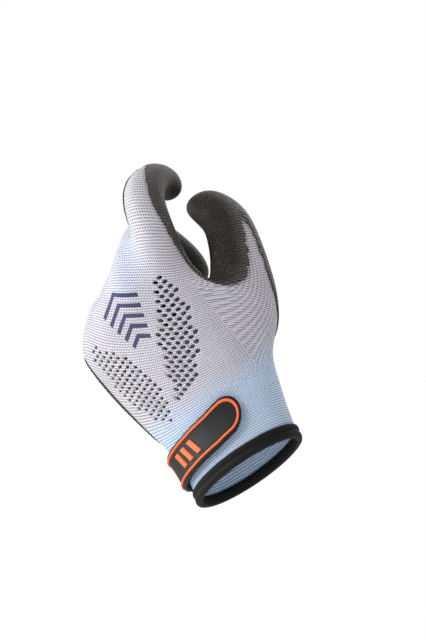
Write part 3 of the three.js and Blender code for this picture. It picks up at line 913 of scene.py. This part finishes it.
def vent_cutters():
    """Flat-ended oval pegs, joined in one object, that pass through the knit."""
    corners = []
    faces = []
    sides = VENT["sides"]
    for field in VENT_FIELDS:
        for spot, share in vent_places(field):
            centre, out = first_hit(WRIST + in_hand(spot), HAND["dorsal"])
            turn_deg = np.interp(share, (0, 1), field["turns"])
            turned = around(HAND["dorsal"], -turn_deg, HAND["radial"])
            long_side = unit(turned - out * np.dot(turned, out))
            short_side = np.cross(out, long_side)
            first = len(corners)
            for height in (-VENT["depth"], VENT["depth"]):
                for k in range(sides):
                    angle = 2 * math.pi * k / sides
                    reach = long_side * math.cos(angle) * field["half_length"]
                    reach = reach + short_side * math.sin(angle) * field["half_width"]
                    corners.append(centre + reach + out * height)
            faces.append([first + k for k in reversed(range(sides))])
            faces.append([first + sides + k for k in range(sides)])
            for k in range(sides):
                after = (k + 1) % sides
                faces.append([first + k, first + after, first + sides + after, first + sides + k])
    return make_object("vent_cutters", corners, faces, KNIT)


def make_liner():
    points, quads, wales = SKIN
    places, faces = wall(points[:, :3], vertex_normals(points, quads), quads, 0, -LINER_WALL)
    both = np.vstack([points, points])
    rim_wales = np.zeros((len(faces) - 2 * len(quads), 4))
    all_wales = np.vstack([wales, wales[:, ::-1], rim_wales])
    liner = make_object("knitted_liner", places, faces, KNIT, corner_uvs(both, faces, all_wales))
    cutters = vent_cutters()
    cut = liner.modifiers.new("vents", "BOOLEAN")
    cut.object = cutters
    cut.solver = "MANIFOLD"
    evaluated = liner.evaluated_get(bpy.context.evaluated_depsgraph_get())
    with_vents = bpy.data.meshes.new_from_object(evaluated)
    liner.modifiers.clear()
    liner.data = with_vents
    bpy.data.objects.remove(cutters)
    return liner


# The dipped coating, with a ragged edge that follows the stitches
def ragged_depth(points):
    depth = points[:, AT_DEPTH].copy()
    near = np.nonzero(np.abs(depth) < RAGGED["band"])[0]
    for i in near:
        place = Vector(points[i, :3])
        stitch = RAGGED["stitch"] * math.sin(2 * math.pi * points[i, AT_COURSE] / COURSE)
        blot = RAGGED["blot"] * noise.noise(place / RAGGED["blot_size"])
        fleck = RAGGED["fleck"] * noise.noise(place / RAGGED["fleck_size"])
        depth[i] += stitch + blot + fleck
    return depth


def coated_part(points, quads, wales):
    """Triangles inside the coating, cut along the line where the depth is zero."""
    depth = ragged_depth(points)
    normals = vertex_normals(points, quads)
    triangles = np.vstack([quads[:, [0, 1, 2]], quads[:, [0, 2, 3]]])
    corner_wales = np.vstack([wales[:, [0, 1, 2]], wales[:, [0, 2, 3]]])
    inside = (depth[triangles] > 0).sum(1)
    whole = inside == 3
    kept = [triangles[whole]]
    kept_wales = [corner_wales[whole]]
    added = []
    added_normals = []
    index = {}

    def crossing(a, b):
        key = (min(a, b), max(a, b))
        if key not in index:
            low, high = key
            share = depth[low] / (depth[low] - depth[high])
            index[key] = len(points) + len(added)
            added.append(points[low] + (points[high] - points[low]) * share)
            added_normals.append(unit(normals[low] + (normals[high] - normals[low]) * share))
        return index[key]

    partly = np.nonzero((inside > 0) & ~whole)[0]
    for row in partly:
        corners = triangles[row]
        ring = []
        for k in range(3):
            a, b = int(corners[k]), int(corners[(k + 1) % 3])
            wale_a, wale_b = corner_wales[row][k], corner_wales[row][(k + 1) % 3]
            if depth[a] > 0:
                ring.append((a, wale_a))
            if (depth[a] > 0) != (depth[b] > 0):
                ring.append((crossing(a, b), (wale_a + wale_b) / 2))
        for k in range(2, len(ring)):
            fan = (ring[0], ring[k - 1], ring[k])
            kept.append(np.array([[corner for corner, _ in fan]]))
            kept_wales.append(np.array([[wale for _, wale in fan]]))
    all_points = np.vstack([points, added])
    all_normals = np.vstack([normals, added_normals])
    faces = np.vstack(kept)
    used, compact = np.unique(faces, return_inverse=True)
    return all_points[used], all_normals[used], compact.reshape(-1, 3), np.vstack(kept_wales)


def make_coating():
    points, normals, faces, wales = coated_part(*FINE)
    places, walls = wall(points[:, :3], normals, faces, COAT_OUTER, COAT_INNER)
    both = np.vstack([points, points])
    rim_wales = np.zeros((len(walls) - 2 * len(faces), 3))
    all_wales = np.vstack([wales, wales[:, ::-1], rim_wales])
    return make_object("dipped_coating", places, walls, COATING, corner_uvs(both, walls, all_wales))


# The strap's own coordinates: distance along it, distance across it and height off the knit
def on_cuff(deg, z):
    outward = np.array([math.cos(math.radians(deg)), -math.sin(math.radians(deg)), 0])
    place, _ = first_hit(Z * z, outward)
    return place, outward


strap_degs = np.arange(STRAP_LINE[0][0], STRAP_LINE[-1][0] + 1, STRAP_STEP_DEG)
strap_heights = np.interp(strap_degs, *zip(*STRAP_LINE))
strap_places = [on_cuff(deg, z)[0] for deg, z in zip(strap_degs, strap_heights)]
strap_steps = [np.linalg.norm(b - a) for a, b in zip(strap_places, strap_places[1:])]
strap_walked = np.concatenate([[0], np.cumsum(strap_steps)])


def on_strap(along, across, height):
    deg = np.interp(along, strap_walked, strap_degs)
    z = np.interp(deg, *zip(*STRAP_LINE))
    place, outward = on_cuff(deg, z + across)
    return place + outward * height


def swept(rings, closed=False, capped=False):
    """Faces that join rings of equal length, stored one after the other."""
    size = len(rings[0])
    faces = []
    for i in range(len(rings) if closed else len(rings) - 1):
        first = i * size
        second = ((i + 1) % len(rings)) * size
        for k in range(size):
            after = (k + 1) % size
            faces.append([first + k, first + after, second + after, second + k])
    if capped:
        faces.append(list(reversed(range(size))))
        faces.append([(len(rings) - 1) * size + k for k in range(size)])
    return faces


def strip_section(half, inner, outer):
    """Half a turn of points over a strip, from one lower edge to the other, with soft upper edges."""
    radius = min(EDGE_RADIUS, half * EDGE_MOST, (outer - inner) * EDGE_MOST)
    cut = radius * EDGE_CUT
    side = [(half, inner), (half, outer - radius), (half - cut, outer - cut), (half - radius, outer)]
    middle = [(share * (half - radius), outer) for share in STRIP_MIDDLE]
    return [*side, *middle, *[(-across, height) for across, height in reversed(side)]]


def rounded_half(distance, half):
    """Half the width of a strip with a round end, at a distance from that end."""
    return math.sqrt(max(half**2 - (half - distance) ** 2, 0)) if distance < half else half


def make_strip(name, piece, heights, material, widen=lambda along: 0):
    """A strip along the strap with a round free end."""
    inner, outer = heights
    turns = np.linspace(ROUND_END["first_turn"], ROUND_END["last_turn"], ROUND_END["stops"])
    ends = [piece["from"] + piece["half"] * (1 - math.cos(turn)) for turn in turns]
    count = int((piece["to"] - ends[-1]) / STRIP_STEP)
    stops = [*ends, *np.linspace(ends[-1], piece["to"], count)[1:]]
    rings = []
    for along in stops:
        far = piece["to"] - along
        low = max(0, 1 - min(along - piece["from"], far) / EDGE_RADIUS)
        top = outer - EDGE_RADIUS * low**2
        half = rounded_half(along - piece["from"], piece["half"]) + widen(along)
        rings.append([on_strap(along, *spot) for spot in strip_section(half, inner, top)])
    corners = [corner for ring in rings for corner in ring]
    return make_object(name, corners, swept(rings, capped=True), material)


def band_extra(along):
    """How much wider each half of the band grows towards its sewn root."""
    share = np.clip((along - BAND["root_from"] + BAND["taper"]) / BAND["taper"], 0, 1)
    return (BAND["root_half"] - BAND["half"]) * share * share * (3 - 2 * share)


def welt_path():
    """The middle line of the raised border, a closed loop inside the tab's outline."""
    half = TAB["half"] - WELT["inset"]
    centre = TAB["from"] + TAB["half"]
    end = TAB["to"] - WELT["inset"]
    corner = WELT["corner"]
    straight = list(np.linspace(end - corner, centre, WELT_STOPS["straight"]))
    turns = np.linspace(-QUARTER_TURN, QUARTER_TURN, WELT_STOPS["arc"])[1:-1]
    arc = [math.radians(deg) for deg in turns]
    corner_turns = np.linspace(QUARTER_TURN, 0, WELT_STOPS["corner"])[1:]
    bend = []
    for turn in (math.radians(deg) for deg in corner_turns):
        along = end - corner + corner * math.cos(turn)
        bend.append((along, half - corner + corner * math.sin(turn)))
    path = [(along, -half) for along in straight]
    path += [(centre - half * math.cos(turn), half * math.sin(turn)) for turn in arc]
    path += [(along, half) for along in reversed(straight)]
    path += bend
    edge = np.linspace(half - corner, corner - half, WELT_STOPS["end"])[1:-1]
    path += [(end, across) for across in edge]
    path += [(along, -across) for along, across in reversed(bend)]
    return np.array(path)


def make_welt():
    path = welt_path()
    ways = np.roll(path, -1, axis=0) - np.roll(path, 1, axis=0)
    ways = ways / np.linalg.norm(ways, axis=1)[:, None]
    rise = WELT["crest"] - WELT["foot"]
    rings = []
    for (along, across), (way_along, way_across) in zip(path, ways):
        ring = []
        for side, height in WELT_SECTION:
            reach = side * WELT["half"]
            spot = (along + way_across * reach, across - way_along * reach)
            ring.append(on_strap(*spot, WELT["foot"] + rise * height))
        rings.append(ring)
    corners = [corner for ring in rings for corner in ring]
    return make_object("orange_welt", corners, swept(rings, closed=True), ORANGE)


def make_bar(number):
    """One slanted bar on the tab, with its upper edge taken off."""
    middle = BARS["middle"] + (number - (BARS["count"] - 1) / 2) * BARS["pitch"]
    shoulder = BARS["crest"] - BARS["bevel_height"]
    rings = []
    for shrink, height in ((0, WELT["foot"]), (0, shoulder), (BARS["bevel"], BARS["crest"])):
        ring = []
        for side, end in ((-1, -1), (-1, 0), (-1, 1), (1, 1), (1, 0), (1, -1)):
            along = middle + end * BARS["slant"] / 2 + side * (BARS["width"] / 2 - shrink)
            ring.append(on_strap(along, end * (BARS["height"] / 2 - shrink), height))
        rings.append(ring)
    corners = [corner for ring in rings for corner in ring]
    bar = make_object(f"orange_bar_{number + 1}", corners, swept(rings, capped=True), ORANGE)
    bar.data.polygons.foreach_set("use_smooth", [False] * len(bar.data.polygons))
    return bar


def make_binding():
    """The folded tape, swept round the cuff's edge."""
    rings = []
    for deg in np.linspace(0, 360, BINDING_STOPS, endpoint=False):
        ring = []
        for z, out in BINDING_PROFILE:
            place, outward = on_cuff(deg, max(z, KNIT_FOOT))
            corner = place + outward * out
            ring.append(np.array([corner[0], corner[1], z]))
        rings.append(ring)
    corners = [corner for ring in rings for corner in ring]
    return make_object("edge_binding", corners, swept(rings, closed=True), TAPE)


def faces_out(piece):
    """Turns the faces of a closed piece outwards."""
    bpy.context.view_layer.objects.active = piece
    bpy.ops.object.select_all(action="DESELECT")
    piece.select_set(True)
    bpy.ops.object.mode_set(mode="EDIT")
    bpy.ops.mesh.select_all(action="SELECT")
    bpy.ops.mesh.normals_make_consistent(inside=False)
    bpy.ops.object.mode_set(mode="OBJECT")


def put(piece, node):
    """A piece stands for a node, whose own part is hidden, and rides on the only body."""
    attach(piece, "root")
    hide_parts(node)


put(make_liner(), "knit_liner")
put(make_coating(), "palm_coating")
trims = [
    (make_binding(), "cuff_binding"),
    (make_strip("strap_webbing", BAND, BAND_HEIGHTS, TAPE, band_extra), "strap_band"),
    (make_strip("tab_body", TAB, TAB_HEIGHTS, TAB_RUBBER), "strap_tab"),
    (make_welt(), "tab_rim"),
]
for bar_number in range(BARS["count"]):
    trims.append((make_bar(bar_number), f"tab_bar_{bar_number + 1}"))
for trim, node in trims:
    faces_out(trim)
    put(trim, node)


# The floor, the camera and the lights
def make_floor():
    reach = FLOOR_SIZE / 2 / MM
    corners = []
    for x, y in ((-1, -1), (1, -1), (1, 1), (-1, 1)):
        corners.append((x * reach, y * reach, FLOOR_HEIGHT / MM))
    material = Shader("floor").finish(tone("floor"), Roughness=0.9)
    make_object("floor", corners, [(0, 1, 2, 3)], material)


def camera_axes():
    """The camera's right, up and backward directions."""
    azimuth, elevation, roll = (math.radians(CAMERA[k]) for k in ("azimuth", "elevation", "roll"))
    back = np.array(
        [
            math.sin(azimuth) * math.cos(elevation),
            -math.cos(azimuth) * math.cos(elevation),
            math.sin(elevation),
        ]
    )
    level_right = np.array([math.cos(azimuth), math.sin(azimuth), 0])
    level_up = np.cross(back, level_right)
    right = math.cos(roll) * level_right + math.sin(roll) * level_up
    return right, np.cross(back, right), back


def make_camera():
    right, up, back = camera_axes()
    scale = CAMERA["distance"] / CAMERA["focal_px"]
    from_middle = [at - size / 2 for at, size in zip(ORIGIN_PX, IMAGE_SIZE)]
    target = scale * (from_middle[1] * up - from_middle[0] * right)
    data = bpy.data.cameras.new("camera")
    data.sensor_fit = "VERTICAL"
    data.sensor_height = SENSOR_HEIGHT
    data.lens = CAMERA["focal_px"] / IMAGE_SIZE[1] * SENSOR_HEIGHT
    camera = bpy.data.objects.new("camera", data)
    turn = Matrix(np.stack([right, up, back], -1).tolist()).to_4x4()
    camera.matrix_world = Matrix.Translation((target + CAMERA["distance"] * back) * MM) @ turn
    bpy.context.scene.collection.objects.link(camera)
    bpy.context.scene.camera = camera


def make_lights():
    for number, row in enumerate(LIGHTS):
        data = bpy.data.lights.new(f"light_{number}", "AREA")
        data.size = row["size"]
        data.energy = row["power"]
        light = bpy.data.objects.new(f"light_{number}", data)
        light.location = row["place"]
        light.rotation_euler = (AIM - light.location).to_track_quat("-Z", "Y").to_euler()
        bpy.context.scene.collection.objects.link(light)


def make_world():
    """White where it is seen, and dimmer as a light."""
    world = bpy.data.worlds.new("studio")
    world.use_nodes = True
    background = world.node_tree.nodes["Background"]
    background.inputs["Color"].default_value = (1, 1, 1, 1)
    seen = world.node_tree.nodes.new("ShaderNodeLightPath").outputs["Is Camera Ray"]
    strength = world.node_tree.nodes.new("ShaderNodeMapRange")
    strength.inputs["To Min"].default_value = WORLD_STRENGTH
    world.node_tree.links.new(seen, strength.inputs["Value"])
    world.node_tree.links.new(strength.outputs["Result"], background.inputs["Strength"])
    bpy.context.scene.world = world


make_floor()
make_camera()
make_lights()
make_world()
bpy.context.scene.view_settings.view_transform = "Standard"

bpy.context.view_layer.update()
